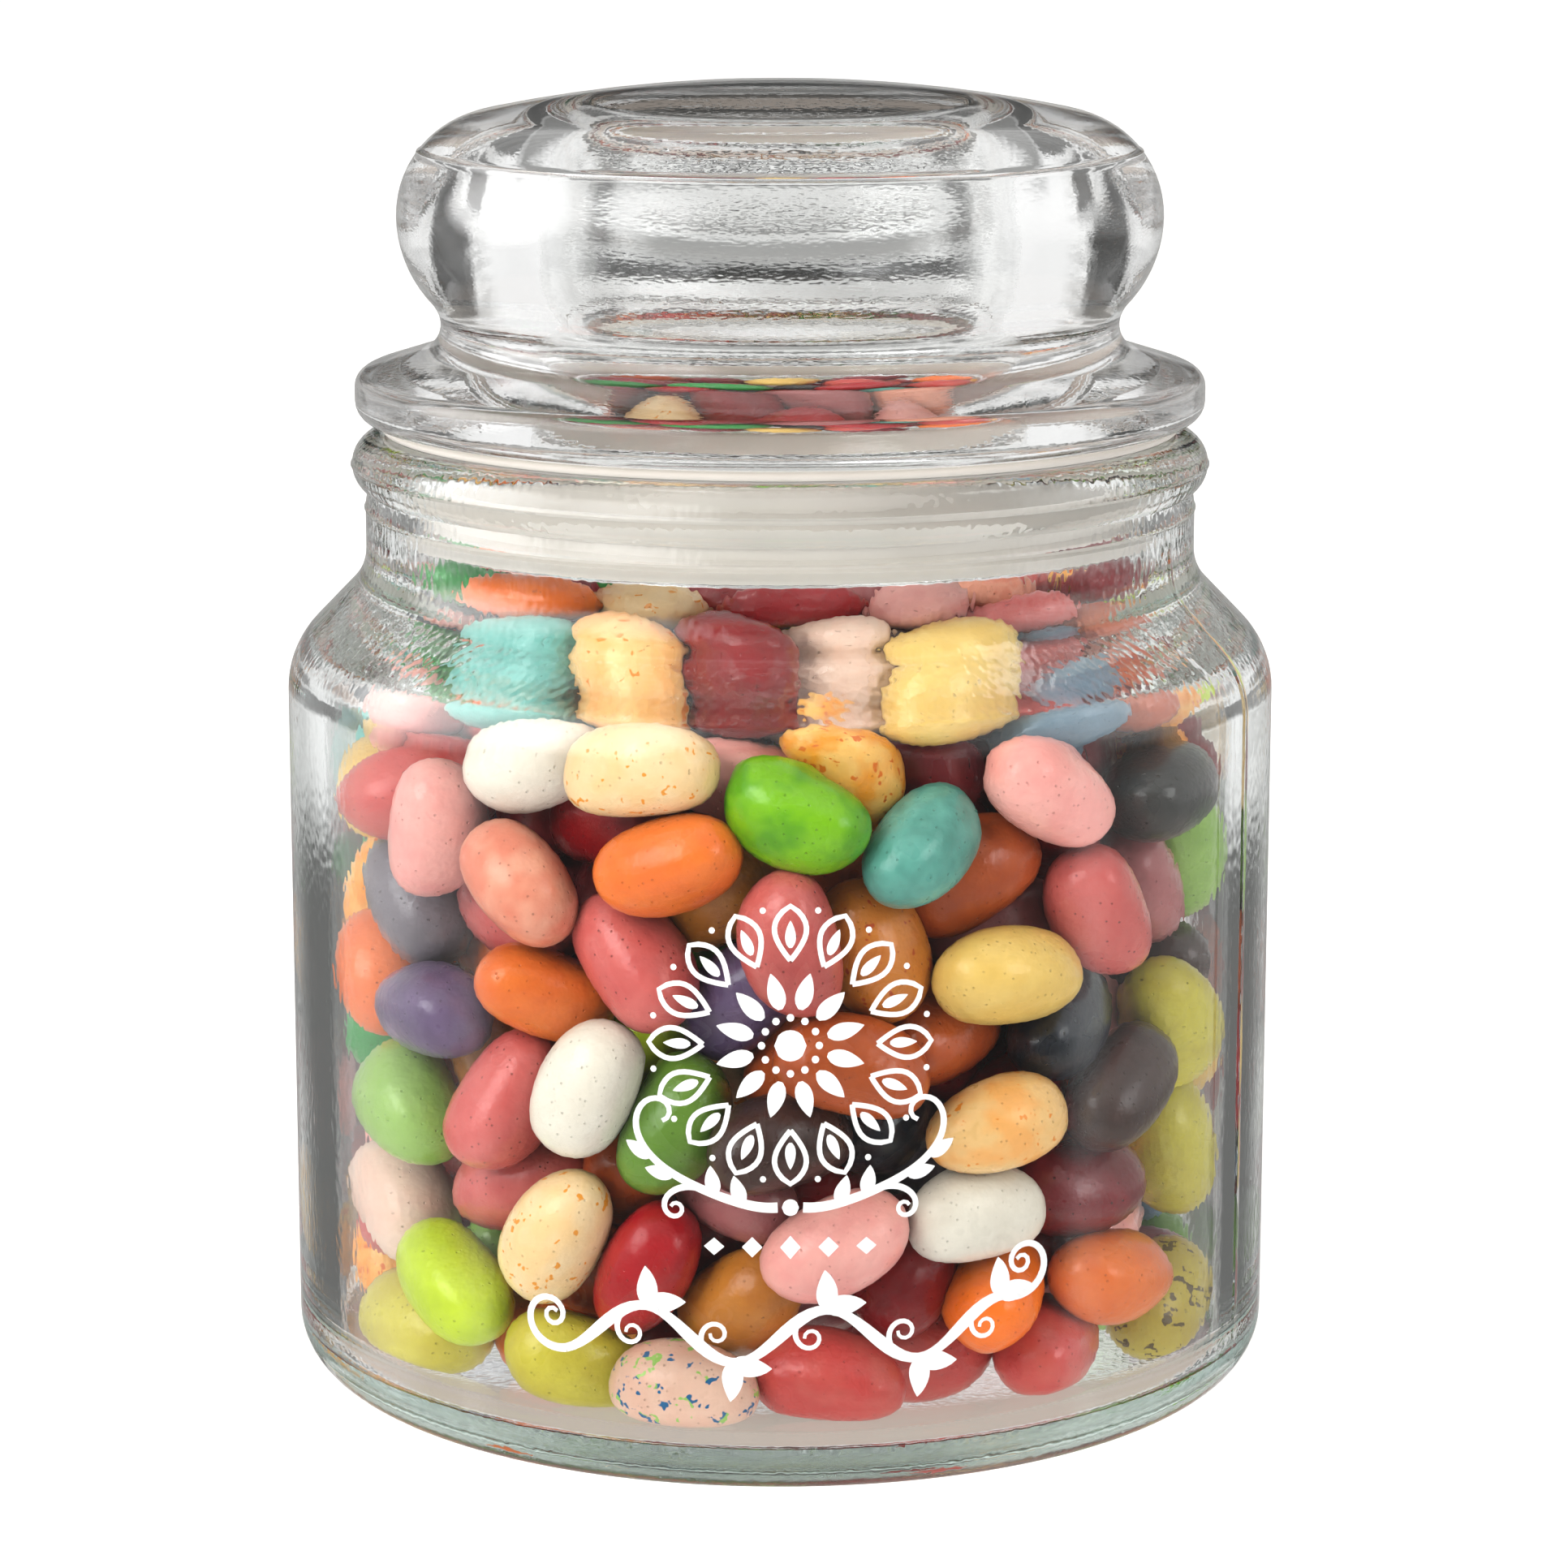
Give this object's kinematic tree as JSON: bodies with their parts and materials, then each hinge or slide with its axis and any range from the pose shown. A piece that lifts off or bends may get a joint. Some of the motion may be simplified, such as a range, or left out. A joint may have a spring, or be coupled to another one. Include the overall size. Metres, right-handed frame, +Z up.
{
  "type": "jar of jelly beans",
  "caption": "Shut clear glass sweet jar with a round body and a bulb-topped glass lid on a seal ring, full of mixed jelly beans.",
  "frame": {"origin": "middle of the foot ring, on the surface that the jar stands on", "axes": "+Z up along the jar's axis, -Y towards the printed front"},
  "size_m": [0.1, 0.1, 0.1312],
  "materials": {
    "jar_glass": "clear, smooth, with a faint green cast where it is thick",
    "lid_glass": "clear pressed glass, faintly rippled inside",
    "seal_plastic": "soft milky plastic",
    "bean_shell": "polished sugar shell in many colours",
    "print_enamel": "white enamel printed on the glass and fired"
  },
  "bodies": {
    "root": {"jar": "jar_glass", "lid": "lid_glass", "seal_ring": "seal_plastic", "jelly_beans": "bean_shell"}
  },
  "joints": []
}
